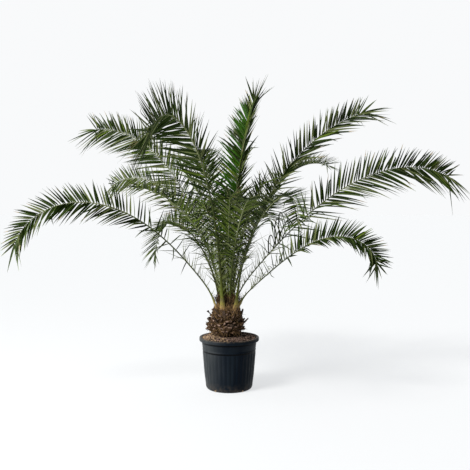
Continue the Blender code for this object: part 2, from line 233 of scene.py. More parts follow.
def pot_profile():
    lip = BAND_RADIUS + 0.004
    low_rim = RIM_HEIGHT - RIM_DEPTH
    outside = [(lip, RIM_HEIGHT - 0.003), (lip + 0.003, RIM_HEIGHT)]
    outside += arc((RIM_RADIUS - RIM_ROUND, RIM_HEIGHT - RIM_ROUND), RIM_ROUND, 90, 0, 5)
    outside += arc((RIM_RADIUS - RIM_ROUND, low_rim + RIM_ROUND), RIM_ROUND, 0, -90, 4)
    outside += [(BAND_RADIUS + 0.003, low_rim), (BAND_RADIUS, low_rim - 0.002)]
    radius = BAND_RADIUS
    for height in BAND_STEPS:
        outside += [(radius, height + BAND_STEP / 2), (radius - BAND_STEP, height - BAND_STEP / 2)]
        radius -= BAND_STEP
    top = LEDGE_HEIGHT - LEDGE_STEP
    outside += [(radius, LEDGE_HEIGHT + LEDGE_BEAD), (radius + 0.0015, LEDGE_HEIGHT + LEDGE_BEAD / 2)]
    outside += [(radius + 0.0010, LEDGE_HEIGHT + 0.001), (radius - 0.0012, LEDGE_HEIGHT)]
    outside += [(wall_radius(top) + 0.001, top + 0.0015)]
    rows = 22
    for i in range(rows + 1):
        height = top + (CORNER_HEIGHT - top) * i / rows
        outside.append((wall_radius(height), height))
    width = CORNER_RADIUS - FOOT_RADIUS
    for x, y in arc((0, 0), 1, 0, -90, 8)[1:]:
        outside.append((FOOT_RADIUS + width * x, CORNER_HEIGHT * (1 + y)))
    outside += [(FOOT_RADIUS - 0.012, 0), (FOOT_RADIUS - 0.014, FOOT_RISE), (0, FOOT_RISE)]
    inside = [(0, FOOT_RISE + WALL), (FOOT_RADIUS, FOOT_RISE + WALL)]
    inside += [(CORNER_RADIUS - WALL, CORNER_HEIGHT), (wall_radius(top) - WALL - FLUTE_OUT, top)]
    inside += [(BAND_RADIUS - 2 * WALL, LEDGE_HEIGHT), (BAND_RADIUS - WALL, RIM_HEIGHT - 0.012)]
    return outside + inside


pot = turned("pot_shell", pot_profile(), POT_SIDES)
for vertex in pot.data.vertices:
    radius = math.hypot(vertex.co.x, vertex.co.y)
    if radius > wall_radius(vertex.co.z) - WALL / 2 and vertex.co.z < LEDGE_HEIGHT - 0.002:
        azimuth = math.atan2(vertex.co.y, vertex.co.x)
        panel = math.sqrt(0.5 + 0.5 * math.cos(FLUTES * azimuth))
        fade_top, fade_low = FLUTE_FADES
        ends = ease(vertex.co.z, CORNER_HEIGHT / 2, CORNER_HEIGHT / 2 + fade_low)
        ends *= 1 - ease(vertex.co.z, LEDGE_HEIGHT - LEDGE_STEP - fade_top * panel, LEDGE_HEIGHT)
        vertex.co.xy *= (radius + FLUTE_OUT * panel * ends) / radius
drills = bpy.data.collections.new("drills")
bpy.context.scene.collection.children.link(drills)
for i in range(DRAINS):
    azimuth = math.radians(DRAIN_AZIMUTH + 360 * i / DRAINS)
    shape = rod(24, DRAIN_RADIUS, DRAIN_RADIUS, DRILL_LENGTH)
    drill = bpy.data.objects.new("drill", mesh_of("drill", shape))
    drills.objects.link(drill)
    out = outward(azimuth) * CORNER_RADIUS
    across = Matrix.Rotation(azimuth, 4, "Z") @ Matrix.Rotation(math.radians(90), 4, "Y")
    drill.matrix_world = Matrix.Translation(out + Vector((0, 0, CORNER_HEIGHT / 3))) @ across
drilled = pot.modifiers.new("drains", "BOOLEAN")
drilled.operation = "DIFFERENCE"
drilled.operand_type = "COLLECTION"
drilled.collection = drills
drilled.solver = "EXACT"
settle(pot)
for drill in list(drills.objects):
    bpy.data.objects.remove(drill, do_unlink=True)
bpy.data.collections.remove(drills)
smooth(pot, 50)

BLACK_PLASTIC = (0.0012, 0.0040, 0.0085)
SCUFFED_PLASTIC = (0.006, 0.010, 0.014)
# The grey that the pot's left side is lightened towards: painted light from the left.
PAINTED_LEFT_LIGHT = (0.046, 0.051, 0.052)
POT_DUST = (0.110, 0.085, 0.060)
PAINTED_LIGHT_ACROSS = (0.05, -0.20)  # the painted light on the left side strengthens from here to there along X
RIM_DUST = (0.010, 0.75)  # how deep below the rim it reaches, and how much lies on the rim
FOOT_DUST = (0.075, 0.35)  # how high it reaches, and how much lies at the foot
plastic, tree, shader = new_material("black_plastic", BLACK_PLASTIC, 0.45, 0.055)
streaks = blotches(tree, 9, 0.46, 0.74, stretch=(1, 1, 0.16))
colour = mixed(tree, streaks, BLACK_PLASTIC, SCUFFED_PLASTIC)
place = add_node(tree, "ShaderNodeTexCoord").outputs["Object"]
place = add_node(tree, "ShaderNodeSeparateXYZ", {"Vector": place}).outputs
# Painted light: towards -X the plastic turns grey, a painted highlight for the light that falls on the
# pot's left side, broken up by blotches.
left_light = ranged(tree, place["X"], *PAINTED_LIGHT_ACROSS)
left_light = product(tree, left_light, left_light)
left_light = product(tree, left_light, blotches(tree, 14, 0.05, 0.6, stretch=(1, 1, 0.3)))
colour = mixed(tree, left_light, colour, PAINTED_LEFT_LIGHT)
dust = ranged(tree, place["Z"], RIM_HEIGHT - RIM_DUST[0], RIM_HEIGHT, end=RIM_DUST[1])
colour = mixed(tree, product(tree, dust, blotches(tree, 60, 0.38, 0.62)), colour, POT_DUST)
dust = ranged(tree, place["Z"], FOOT_DUST[0], 0, end=FOOT_DUST[1])
colour = mixed(tree, product(tree, dust, blotches(tree, 34, 0.42, 0.66)), colour, POT_DUST)
# Painted shade: the colour is darkened to 0.15 in bands under the ledge and under the rim, where shade
# falls.
shade_bands = add_node(tree, "ShaderNodeValToRGB", {"Fac": place["Z"]})
first, last = shade_bands.color_ramp.elements
first.color = last.color = (1, 1, 1, 1)
for low, high in PAINTED_SHADE_HEIGHTS:
    for height, painted_shading in ((low - 0.002, 1), (low, 0.15), (high, 0.15), (high + 0.002, 1)):
        shade_bands.color_ramp.elements.new(height).color = (painted_shading, painted_shading, painted_shading, 1)
painted_shading = add_node(tree, "ShaderNodeMix", {0: 1.0}, data_type="RGBA", blend_type="MULTIPLY")
tree.links.new(colour, painted_shading.inputs[6])
tree.links.new(shade_bands.outputs["Color"], painted_shading.inputs[7])
tree.links.new(painted_shading.outputs[2], shader.inputs["Base Color"])
dull = ranged(tree, blotches(tree, 22, 0.3, 0.7), 0, 1, start=0.36, end=0.52)
tree.links.new(dull, shader.inputs["Roughness"])
bumped(tree, shader, blotches(tree, 420, 0.2, 0.8, detail=2), 0.25, 0.0004)
cover(pot, plastic)
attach(pot, "root")
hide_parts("pot")

# The soil: a root ball of bark compost that fills the pot to just under its rim and is mounded
# to the trunk. Loose flakes of bark and a few pale husks lie on it, most of them at the left.
SOIL_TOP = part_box("soil")[1].z
SOIL_SIDES = 144
SOIL_RINGS = 30
SOIL_EDGE = (BAND_RADIUS - WALL - 0.001, SOIL_TOP - 0.018)
SOIL_MOUND_RADIUS = 0.150
SOIL_ROUGHNESS = 0.0055
FLAKES = {  # how many there are, and their colour
    "pinkish": (1300, (0.215, 0.145, 0.118)),
    "dark": (1000, (0.055, 0.036, 0.026)),
    "tan": (430, (0.500, 0.355, 0.215)),
}
FLAKE_SIZE = (0.0045, 0.0130)
HUSK_AZIMUTH = 206  # where the pale husks lie thickest
BARE_SOIL = (0.086, 0.022)  # no flakes nearer the trunk, and further from it on the bare side
BARE_AZIMUTH = 300


def soil_height(radius):
    if radius < SOIL_MOUND_RADIUS:
        return SOIL_TOP - 0.004
    fall = ease(radius, SOIL_MOUND_RADIUS, SOIL_EDGE[0] + 0.012)
    return SOIL_TOP - 0.004 + (SOIL_EDGE[1] - SOIL_TOP) * fall


soil_profile = [(0, soil_height(0))]
for i in range(1, SOIL_RINGS + 1):
    radius = SOIL_EDGE[0] * i / SOIL_RINGS
    soil_profile.append((radius, soil_height(radius)))
soil_profile += [(SOIL_EDGE[0], SOIL_EDGE[1] - 0.02), (0, SOIL_EDGE[1] - 0.02)]
soil = turned("compost", soil_profile, SOIL_SIDES)
for vertex in soil.data.vertices:
    if vertex.co.z > SOIL_EDGE[1] - 0.012 and vertex.co.xy.length < SOIL_EDGE[0] - 0.002:
        lumps = noise.fractal(vertex.co * 60, 0.7, 2.0, 4)
        vertex.co.z += SOIL_ROUGHNESS * lumps
smooth(soil, 180)

COMPOST = (0.160, 0.112, 0.078)
COMPOST_DARK = (0.022, 0.014, 0.010)


def mottled(name, roughness, specular, scale, one, other, contrast=(0.35, 0.65), detail=4, flat=None):
    """A material that is one colour with blotches of the other; flat is for a display without."""
    material, tree, shader = new_material(name, flat or other, roughness, specular)
    colour = mixed(tree, blotches(tree, scale, *contrast, detail), one, other)
    tree.links.new(colour, shader.inputs["Base Color"])
    return material, tree, shader


compost, tree, shader = mottled("bark_compost", 0.95, 0.1, 130, COMPOST_DARK, COMPOST, (0.36, 0.66))
bumped(tree, shader, blotches(tree, 260, 0.2, 0.8), 0.8, 0.002)
cover(soil, compost)
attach(soil, "root")
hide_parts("soil")


def copies_tree():
    """Sets a copy out on each point: its Z along the point's along, its Y towards upper, scaled by
    size. Its own t runs from 0 at its foot to 1 at its tip, and bend moves the tip."""
    tree = bpy.data.node_groups.new("set_out_copies", "GeometryNodeTree")
    kinds = {"Geometry": "Geometry", "Copy": "Object"}
    kinds.update({"Material": "Material", "Cut Material": "Material"})
    for name, kind in kinds.items():
        tree.interface.new_socket(name=name, in_out="INPUT", socket_type=f"NodeSocket{kind}")
    tree.interface.new_socket(name="Geometry", in_out="OUTPUT", socket_type="NodeSocketGeometry")
    given = add_node(tree, "NodeGroupInput").outputs

    def step(kind, inputs, output, **settings):
        return add_node(tree, kind, inputs, **settings).outputs[output]

    def named(name, data_type="FLOAT_VECTOR"):
        kind = "GeometryNodeInputNamedAttribute"
        return step(kind, {"Name": name}, "Attribute", data_type=data_type)

    align = "FunctionNodeAlignRotationToVector"
    turn = step(align, {"Vector": named("along")}, "Rotation")
    inputs = {"Rotation": turn, "Vector": named("upper")}
    turn = step(align, inputs, "Rotation", axis="Y", pivot_axis="Z")
    copy = step("GeometryNodeObjectInfo", {"Object": given["Copy"]}, "Geometry")
    inputs = {"Points": given["Geometry"], "Instance": copy, "Rotation": turn, "Scale": named("size")}
    placed = step("GeometryNodeInstanceOnPoints", inputs, "Instances")
    made = step("GeometryNodeRealizeInstances", {"Geometry": placed}, "Geometry")
    t = named("t", "FLOAT")
    inputs = {0: named("bend"), "Scale": product(tree, t, t)}
    bend = step("ShaderNodeVectorMath", inputs, "Vector", operation="SCALE")
    made = step("GeometryNodeSetPosition", {"Geometry": made, "Offset": bend}, "Geometry")
    inputs = {"Geometry": made, "Material": given["Material"]}
    made = step("GeometryNodeSetMaterial", inputs, "Geometry")
    inputs = {"Geometry": made, "Selection": named("cut", "BOOLEAN"), "Material": given["Cut Material"]}
    made = step("GeometryNodeSetMaterial", inputs, "Geometry")
    add_node(tree, "NodeGroupOutput", {"Geometry": made})
    return tree


COPIES = copies_tree()
Place = namedtuple("Place", "at along upper size bend")
UNBENT = Vector((0, 0, 0))
UP = Vector((0, 0, 1))


def set_out(name, places, copy, material, cut_material=None):
    places = list(places)
    mesh = bpy.data.meshes.new(name)
    mesh.from_pydata([place.at for place in places], [], [])
    for field in ("along", "upper", "size", "bend"):
        attribute = mesh.attributes.new(field, "FLOAT_VECTOR", "POINT")
        values = [number for place in places for number in getattr(place, field)]
        attribute.data.foreach_set("vector", values)
    thing = new_object(name, mesh)
    modifier = thing.modifiers.new("copies", "NODES")
    modifier.node_group = COPIES
    inputs = {"Copy": copy, "Material": material, "Cut Material": cut_material or material}
    for socket in COPIES.interface.items_tree:
        if socket.name in inputs:
            modifier[socket.identifier] = inputs[socket.name]
    settle(thing)
    for field in ("along", "upper", "size", "bend", "t", "cut"):
        attribute = thing.data.attributes.get(field)
        if attribute:
            thing.data.attributes.remove(attribute)
    return thing


def unit_copy(name, shape, foot_to_tip=True):
    """A shape to be copied, from 0 to 1 along Z, with t on its points."""
    mesh = mesh_of(name, shape)
    t = mesh.attributes.new("t", "FLOAT", "POINT")
    t.data.foreach_set("value", [vertex.co.z if foot_to_tip else 0 for vertex in mesh.vertices])
    return new_object(name, mesh)


def flake_copy(seed):
    chance = random.Random(seed)
    shape = bmesh.new()
    bmesh.ops.create_icosphere(shape, subdivisions=1, radius=1)
    for vertex in shape.verts:
        vertex.co *= chance.uniform(0.7, 1.25)
    return unit_copy("flake", shape, foot_to_tip=False)


def flake_places(count, seed, husks):
    chance = random.Random(seed)
    places = []
    while len(places) < count:
        radius = SOIL_EDGE[0] * math.sqrt(chance.random()) * 0.985
        azimuth = chance.uniform(0, 360)
        if husks:
            azimuth = chance.gauss(HUSK_AZIMUTH, 28) if chance.random() < 0.8 else azimuth
        turn = math.radians(azimuth)
        if radius < BARE_SOIL[0] + BARE_SOIL[1] * math.cos(turn - math.radians(BARE_AZIMUTH)):
            continue
        at = outward(turn) * radius
        at.z = soil_height(radius) + chance.uniform(-0.001, 0.0055)
        length = chance.uniform(*FLAKE_SIZE)
        size = Vector((length * chance.uniform(0.35, 0.8), length * 0.28, length))
        facing = chance.uniform(0, math.tau)
        along = Vector((math.cos(facing), math.sin(facing), chance.uniform(-0.6, 0.6)))
        upper = Vector((chance.gauss(0, 0.5), chance.gauss(0, 0.5), 1))
        places.append(Place(at, along, upper, size, UNBENT))
    return places


def crumb_places():
    """Crumbs of soil that have worked out of the drain holes."""
    chance = random.Random(17)
    for i in range(CRUMBS):
        turn = math.radians(DRAIN_AZIMUTH + 360 * (i % DRAINS) / DRAINS + chance.gauss(0, 1.1))
        at = outward(turn) * (CORNER_RADIUS - chance.uniform(0.004, 0.012))
        at.z = CORNER_HEIGHT / 3 + chance.uniform(-0.007, 0.003)
        size = Vector((1, 0.8, 1.2)) * chance.uniform(0.0015, 0.0030)
        yield Place(at, UP, at, size, UNBENT)


for seed, (tint, (count, colour)) in enumerate(FLAKES.items()):
    darker = tuple(channel * 0.45 for channel in colour)
    bark = mottled(f"bark_{tint}", 0.9, 0.15, 90, darker, colour)[0]
    flake = flake_copy(seed)
    places = flake_places(count, seed, tint == "tan")
    if tint == "tan":
        places += crumb_places()
    flakes = set_out(f"flakes_{tint}", places, flake, bark)
    bpy.data.objects.remove(flake)
    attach(flakes, "root")
    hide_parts("soil")

# The trunk: short and stout, all of it old leaf bases that were cut off a hand's breadth from the
# stem. Each is a crescent of tough brown tissue with a pale sawn end, and torn fibre lies between.
TRUNK_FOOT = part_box("trunk")[0].z
TRUNK_HEIGHT = 0.240
TRUNK_FOOT_X = -0.034
TRUNK_TOP_X = -0.010
TRUNK_FOOT_RADIUS = 0.077
TRUNK_WIDEST = 0.120
TRUNK_WIDEST_SHARE = 0.34
TRUNK_TOP_RADIUS = 0.061
TRUNK_SIDES = 120
TRUNK_ROWS = 48
BOOTS = 165
BOOT_SHARES = (0.15, 0.80)  # of the trunk's height
BOOT_TURN = math.radians(137.508)
BOOT_LENGTH = (0.026, 0.050)
BOOT_WIDTH = 0.0235
LONG_BOOTS = 0.16
LONG_BOOT_LENGTH = (0.055, 0.092)
LONG_BOOTS_END = 0.72  # of the trunk's height
BOOT_WEAR = 0.0085
WEAR_SEED = 1795785950  # without one, the noise that wears the bases would differ at each run
STRANDS = 2600
STRAND_SHARES = (0.13, 1.0)
STRAND_LENGTH = (0.018, 0.055)
STRAND_RADIUS = 0.0006


def trunk_radius(share):
    if share < TRUNK_WIDEST_SHARE:
        swell = math.sin(math.pi / 2 * share / TRUNK_WIDEST_SHARE)
        return TRUNK_FOOT_RADIUS + (TRUNK_WIDEST - TRUNK_FOOT_RADIUS) * swell
    left = max(0, (1 - share) / (1 - TRUNK_WIDEST_SHARE))
    return TRUNK_TOP_RADIUS + (TRUNK_WIDEST - TRUNK_TOP_RADIUS) * left**1.05


def trunk_middle(height):
    share = min(1, max(0, (height - TRUNK_FOOT) / TRUNK_HEIGHT))
    return Vector((TRUNK_FOOT_X + (TRUNK_TOP_X - TRUNK_FOOT_X) * share, 0, height))


top = TRUNK_FOOT + TRUNK_HEIGHT
core_profile = [(0, top + 0.030), (TRUNK_TOP_RADIUS * 0.72, top + 0.024)]
for i in range(TRUNK_ROWS + 1):
    share = 1 - i / TRUNK_ROWS
    core_profile.append((trunk_radius(share) - 0.008, TRUNK_FOOT + TRUNK_HEIGHT * share))
core_profile += [(0, TRUNK_FOOT)]
core = turned("trunk_core", core_profile, TRUNK_SIDES)
for vertex in core.data.vertices:
    radius = vertex.co.xy.length
    if radius > 0.02 and vertex.co.z > TRUNK_FOOT + 0.001:
        finer = Vector((vertex.co.x * 70, vertex.co.y * 70, vertex.co.z * 45))
        ridges = noise.fractal(finer, 0.6, 2.2, 4)
        vertex.co.xy *= (radius + 0.006 * ridges) / radius
    vertex.co.x += trunk_middle(vertex.co.z).x
smooth(core, 180)

FIBRE_DARK = (0.022, 0.011, 0.005)
FIBRE_BROWN = (0.105, 0.062, 0.030)
FIBRE_TAN = (0.320, 0.200, 0.085)
OLD_FIBRE = (0.060, 0.035, 0.018)
BOOT_BROWN = (0.150, 0.092, 0.050)
CUT_FACE = (0.300, 0.205, 0.165)
CUT_FACE_DARK = (0.085, 0.052, 0.034)
STUB_GREY = (0.085, 0.062, 0.045)
OLD_CUT_FACE = (0.130, 0.090, 0.060)


def fibrous(name, light):
    """Brown plant tissue whose threads run up the trunk."""
    material, tree, shader = new_material(name, light, 0.9, 0.15)
    threads = blotches(tree, 170, 0.36, 0.64, stretch=(1, 1, 0.22))
    patches = blotches(tree, 22, 0.38, 0.66)
    colour = mixed(tree, threads, FIBRE_DARK, light)
    colour = mixed(tree, product(tree, patches, 0.55), colour, FIBRE_DARK)
    tree.links.new(colour, shader.inputs["Base Color"])
    bumped(tree, shader, threads, 0.7, 0.0016)
    return material


cover(core, fibrous("old_fibre", OLD_FIBRE))
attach(core, "root")
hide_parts("trunk")


def skin(shape, rings):
    """Faces from ring to ring and over both ends; returns the rows between the rings and the end."""
    rows = []
    for low, high in zip(rings, rings[1:]):
        corners = zip(low, low[1:] + low[:1], high[1:] + high[:1], high)
        rows.append([shape.faces.new(face) for face in corners])
    shape.faces.new(rings[0][::-1])
    return rows, shape.faces.new(rings[-1])


def boot_copy():
    """A leaf base: hollow towards the trunk's tip, rounded beneath, and sawn off across its end."""
    shape = bmesh.new()
    cut = shape.faces.layers.bool.new("cut")
    stations = ((-0.35, 1.15, 0.62), (0.2, 1.0, 0.60), (0.65, 0.82, 0.50), (1.0, 0.66, 0.42))
    rings = []
    for z, width, thick in stations:
        ring = []
        for i in range(10):
            turn = math.tau * i / 10
            y = math.sin(turn) * (0.35 if math.sin(turn) > 0 else 1.0)
            ring.append(shape.verts.new((width * math.cos(turn), thick * y, z)))
        rings.append(ring)
    end = skin(shape, rings)[1]
    bmesh.ops.inset_region(shape, faces=[end], thickness=0.09)
    for vertex in end.verts:
        vertex.co.z -= 0.05
    end[cut] = True
    return unit_copy("boot", shape, foot_to_tip=False)


def boot_places():
    chance = random.Random(4)
    short, long = [], []
    for i in range(BOOTS):
        share = BOOT_SHARES[0] + (BOOT_SHARES[1] - BOOT_SHARES[0]) * i / BOOTS
        away = outward(i * BOOT_TURN)
        height = TRUNK_FOOT + TRUNK_HEIGHT * share
        at = trunk_middle(height) + away * (trunk_radius(share) - 0.007)
        rise = math.radians(6 + 56 * share + chance.gauss(0, 18))
        along = away * math.cos(rise) + UP * math.sin(rise)
        twist = UP + away.cross(UP) * chance.gauss(0, 0.5)
        width = BOOT_WIDTH * chance.uniform(0.6, 1.2) * (1 - 0.22 * share)
        if chance.random() < LONG_BOOTS and share < LONG_BOOTS_END:
            length = chance.uniform(*LONG_BOOT_LENGTH)
            size = Vector((width * 0.72, width * 0.60, length))
            along = along + UP * chance.uniform(0.1, 0.6)
            long.append(Place(at, along, twist, size, UNBENT))
        else:
            length = chance.uniform(*BOOT_LENGTH)
            size = Vector((width, width * chance.uniform(0.7, 1.1), length))
            short.append(Place(at, along, twist, size, UNBENT))
    return short, long


sawn, tree, shader = mottled("sawn_end", 0.9, 0.15, 70, CUT_FACE_DARK, CUT_FACE, (0.40, 0.66))
bumped(tree, shader, blotches(tree, 420, 0.3, 0.7), 0.6, 0.001)
greys = (FIBRE_DARK, OLD_CUT_FACE)
old_sawn = mottled("weathered_end", 0.9, 0.15, 120, *greys, flat=FIBRE_BROWN)[0]
boot = boot_copy()
short_boots, long_boots = boot_places()
boots = set_out("boots", short_boots, boot, fibrous("boot_brown", BOOT_BROWN), sawn)
stubs = set_out("stubs", long_boots, boot, fibrous("stub_grey", STUB_GREY), old_sawn)
bpy.data.objects.remove(boot)
noise.seed_set(WEAR_SEED)
for piece in (boots, stubs):
    for vertex in piece.data.vertices:
        vertex.co += noise.noise_vector(vertex.co * 65) * BOOT_WEAR
    smooth(piece, 40)
    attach(piece, "root")
    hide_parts("trunk")


def strand_copy():
    steps = 6
    shape = rod(3, 1, 0.4)
    bmesh.ops.translate(shape, verts=shape.verts, vec=(0, 0, 0.5))
    upright = [edge for edge in shape.edges if abs(edge.verts[0].co.z - edge.verts[1].co.z) > 0.5]
    bmesh.ops.subdivide_edges(shape, edges=upright, cuts=steps - 1, use_grid_fill=True)
    return unit_copy("strand", shape)


def strand_places():
    chance = random.Random(9)
    for _ in range(STRANDS):
        share = chance.uniform(*STRAND_SHARES)
        away = outward(chance.uniform(0, math.tau))
        side = UP.cross(away)
        at = trunk_middle(TRUNK_FOOT + TRUNK_HEIGHT * share) + away * trunk_radius(share)
        length = chance.uniform(*STRAND_LENGTH)
        along = away * chance.uniform(0, 0.4) + side * chance.gauss(0, 0.7)
        along += UP * chance.gauss(0.3, 0.6)
        bend = (side * chance.gauss(0, 0.5) + UP * chance.uniform(-0.7, 0.2)) * length
        thick = STRAND_RADIUS * chance.uniform(0.7, 2.6)
        yield Place(at, along, away, Vector((thick, thick, length)), bend)


strand = strand_copy()
fibre = mottled("torn_fibre", 0.85, 0.2, 40, FIBRE_BROWN, FIBRE_TAN)[0]
strands = set_out("fibre_strands", strand_places(), strand, fibre)
bpy.data.objects.remove(strand)
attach(strands, "root")
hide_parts("trunk")

# The living leaf sheaths: the broad feet of the fronds, wrapped round the top of the trunk. They
# are tan and torn into webs of fibre low down, and turn olive where they narrow to the stalks.
Ring = namedtuple("Ring", "radius height stalk heel lean")
OUTER = Ring(0.098, 0.660, 0.018, 0.55, 60)
MIDDLE = Ring(0.062, 0.680, 0.0135, 0.55, 52)
INNER = Ring(0.034, 0.700, 0.011, 0, 50)
HEEL_SHARE = 0.14
FROND_VALUES = "name ring azimuth sweep rise tip length arch roll twist"
Frond = namedtuple("Frond", FROND_VALUES + " lift fan leaflet denser narrower")  # from lift: leaflets
FRONDS = (
    Frond("left_low", OUTER, 185, 0, 52, -72, 1.96, 2.25, -62, 0.5, 30, 50, 0.22, 1.2, 1.05),
    Frond("right_low", OUTER, 340, 0, 42, -86, 1.33, 3.45, 50, 0.5, 42, 50, 0.20, 1.95, 1),
    Frond("front_left", OUTER, 245, 15, 81, -47, 2.19, 2.10, 84, 1.0, 38, 80, 0.30, 1.5, 0.74),
    Frond("front_right", OUTER, 312, -47, 79, -56, 1.60, 1.70, 10, 0.5, 24, 50, 0.15, 1, 1),
    Frond("left_drooping", OUTER, 130, -25, 67, -69, 1.61, 1.45, -40, 0.5, 45, 30, 0.19, 1.4, 0.75),
    Frond("back_low_left", OUTER, 102, 0, 58, -50, 1.80, 1.80, 0, 0.5, 24, 50, 0.23, 1, 1),
    Frond("back_low_right", OUTER, 74, 0, 60, -48, 1.75, 1.80, 0, 0.5, 24, 50, 0.23, 1, 1),
    Frond("right_long", MIDDLE, 5, 20, 50, -25, 2.22, 2.20, 62, 0.5, 22, 46, 0.28, 1.2, 0.9),
    Frond("right_small", MIDDLE, 55, -20, 58, -15, 1.78, 2.90, -10, 0.5, 55, 46, 0.18, 1.9, 0.75),
    Frond("back_middle", MIDDLE, 105, 0, 72, -6, 1.95, 1.60, 0, 0.5, 24, 46, 0.24, 1.2, 1),
    Frond("left_middle", MIDDLE, 165, -30, 79, -30, 1.63, 1.70, -72, 0.5, 16, 46, 0.20, 1.4, 0.75),
    Frond("front_young_left", MIDDLE, 218, 10, 78, 5, 1.25, 1.40, 0, 0.5, 34, 46, 0.17, 1.7, 0.75),
    Frond("front_young_right", MIDDLE, 284, -10, 78, 0, 1.20, 1.30, 0, 0.5, 34, 46, 0.16, 1.7, 0.75),
    Frond("left_high", INNER, 150, 0, 70, -4, 2.00, 2.10, -72, 0.5, 20, 44, 0.26, 1.4, 0.78),
    Frond("right_high", INNER, 20, 0, 75, 17, 1.95, 1.50, 52, 0.6, 46, 40, 0.26, 1.15, 0.85),
    Frond("back_high", INNER, 62, -45, 83, 66, 1.56, 4.00, 0, 0.5, 30, 40, 0.28, 2.5, 1),
    Frond("young_front", INNER, 272, 0, 84, 20, 1.00, 1.20, 0, 0.5, 34, 44, 0.17, 1.8, 0.75),
    Frond("young_left", INNER, 214, 0, 85, 45, 1.10, 1.50, 0, 0.5, 34, 44, 0.18, 1.7, 0.75),
    Frond("young_right", INNER, 332, 0, 83, 58, 0.93, 1.50, 0, 0.5, 34, 44, 0.20, 1.7, 0.75),
)
FROND_NODES = [name for name in frame["nodes"] if name.startswith("frond_")]
SHEATH_LENGTH = 0.088
SHEATH_STEPS = 14
SHEATH_HALF_WIDTH = 0.050
SHEATH_THICKNESS = 0.008
SHEATH_BEND = 0.050  # how gently it turns from the trunk into the stalk
SHEATH_WEAR = 0.0035
WEB_STRANDS = 1700
WEB_LENGTH = (0.025, 0.060)
COLLAR_STRANDS = 700
COLLAR_LENGTH = (0.030, 0.075)


def frame_at(frond, share):
    """Axes of the rib: X to its left side, Y out of its upper face and Z towards its tip."""
    heel = frond.ring.heel * (90 - frond.rise) * max(0, 1 - share / HEEL_SHARE) ** 2
    lean = math.radians(frond.rise + heel + (frond.tip - frond.rise) * share**frond.arch)
    away = outward(math.radians(frond.azimuth + frond.sweep * share**2))
    along = away * math.cos(lean) + UP * math.sin(lean)
    left = UP.cross(away)
    axes = Matrix((left, along.cross(left), along)).transposed()
    return axes @ Matrix.Rotation(math.radians(frond.roll) * min(1, share / frond.twist), 3, "Z")


def seat_of(frond):
    away = outward(math.radians(frond.azimuth))
    return away * frond.ring.radius + Vector((TRUNK_TOP_X, 0, frond.ring.height))


def sweep_along(shape, stations, outline, share_layer=None):
    """Adds a closed tube to a mesh: each station is (place, axes, share), each outline a loop."""
    rings = []
    for place, axes, share in stations:
        ring = []
        for x, y in outline(share):
            vertex = shape.verts.new(place + axes @ Vector((x, y, 0)))
            if share_layer:
                vertex[share_layer] = share
            ring.append(vertex)
        rings.append(ring)
    skin(shape, rings)


def shape_piece(name, shape, angle):
    thing = new_object(name, mesh_of(name, shape))
    smooth(thing, angle)
    return thing


def sheath_stations(frond):
    seat = seat_of(frond)
    along = frame_at(frond, 0).col[2]
    away = outward(math.radians(frond.azimuth))
    height = frond.ring.height - SHEATH_LENGTH
    radius = trunk_radius((height - TRUNK_FOOT) / TRUNK_HEIGHT) * frond.ring.radius / OUTER.radius
    foot = trunk_middle(height) + away * (radius - 0.008)
    low = foot + UP * SHEATH_BEND
    high = seat - along * SHEATH_BEND
    top = seat + along * SHEATH_BEND
    stations = []
    for i in range(SHEATH_STEPS + 1):
        s = i / SHEATH_STEPS
        r = 1 - s
        place = foot * r**3 + low * (3 * s * r * r) + high * (3 * s * s * r) + top * s**3
        forward = (low - foot) * r * r + (high - low) * 2 * s * r + (top - high) * s * s
        forward.normalize()
        left = UP.cross(away)
        back = forward.cross(left).normalized()
        stations.append((place, Matrix((left, back, forward)).transposed(), s))
    return stations


def sheath_outline(half_foot, half_top):
    """A crescent that wraps what it grows from; its back bulges away from the trunk."""

    def outline(share):
        half = half_top + (half_foot - half_top) * (1 - share) ** 1.6
        thick = SHEATH_THICKNESS * (0.45 + 0.75 * share)
        wrap = 0.35 * half * (1 - share)
        points = []
        for i in range(9):
            x = 1 - i / 4
            points.append((half * x, -thick * math.sqrt(max(0, 1 - x * x)) * 1.25 + wrap * x * x))
        for i in range(1, 8):
            x = i / 4 - 1
            points.append((half * x, thick * 0.45 * math.sqrt(1 - x * x) + wrap * x * x))
        return points

    return outline


sheath_shape = bmesh.new()
sheath_share = sheath_shape.verts.layers.float.new("share")
for frond in FRONDS:
    half_foot = SHEATH_HALF_WIDTH * frond.ring.stalk / OUTER.stalk
    sweep_along(
        sheath_shape,
        sheath_stations(frond),
        sheath_outline(half_foot, frond.ring.stalk * 0.98),
        sheath_share,
    )
for vertex in sheath_shape.verts:
    vertex.co += noise.noise_vector(vertex.co * 55) * SHEATH_WEAR
sheaths = shape_piece("leaf_sheaths", sheath_shape, 60)


def graded(tree, name, stops):
    """Colours along an attribute that runs from 0 to 1."""
    value = add_node(tree, "ShaderNodeAttribute", attribute_name=name).outputs["Fac"]
    ramp = add_node(tree, "ShaderNodeValToRGB", {"Fac": value})
    first, last = ramp.color_ramp.elements
    first.position, first.color = stops[0][0], (*stops[0][1], 1)
    last.position, last.color = stops[-1][0], (*stops[-1][1], 1)
    for position, colour in stops[1:-1]:
        ramp.color_ramp.elements.new(position).color = (*colour, 1)
    return ramp.outputs["Color"]


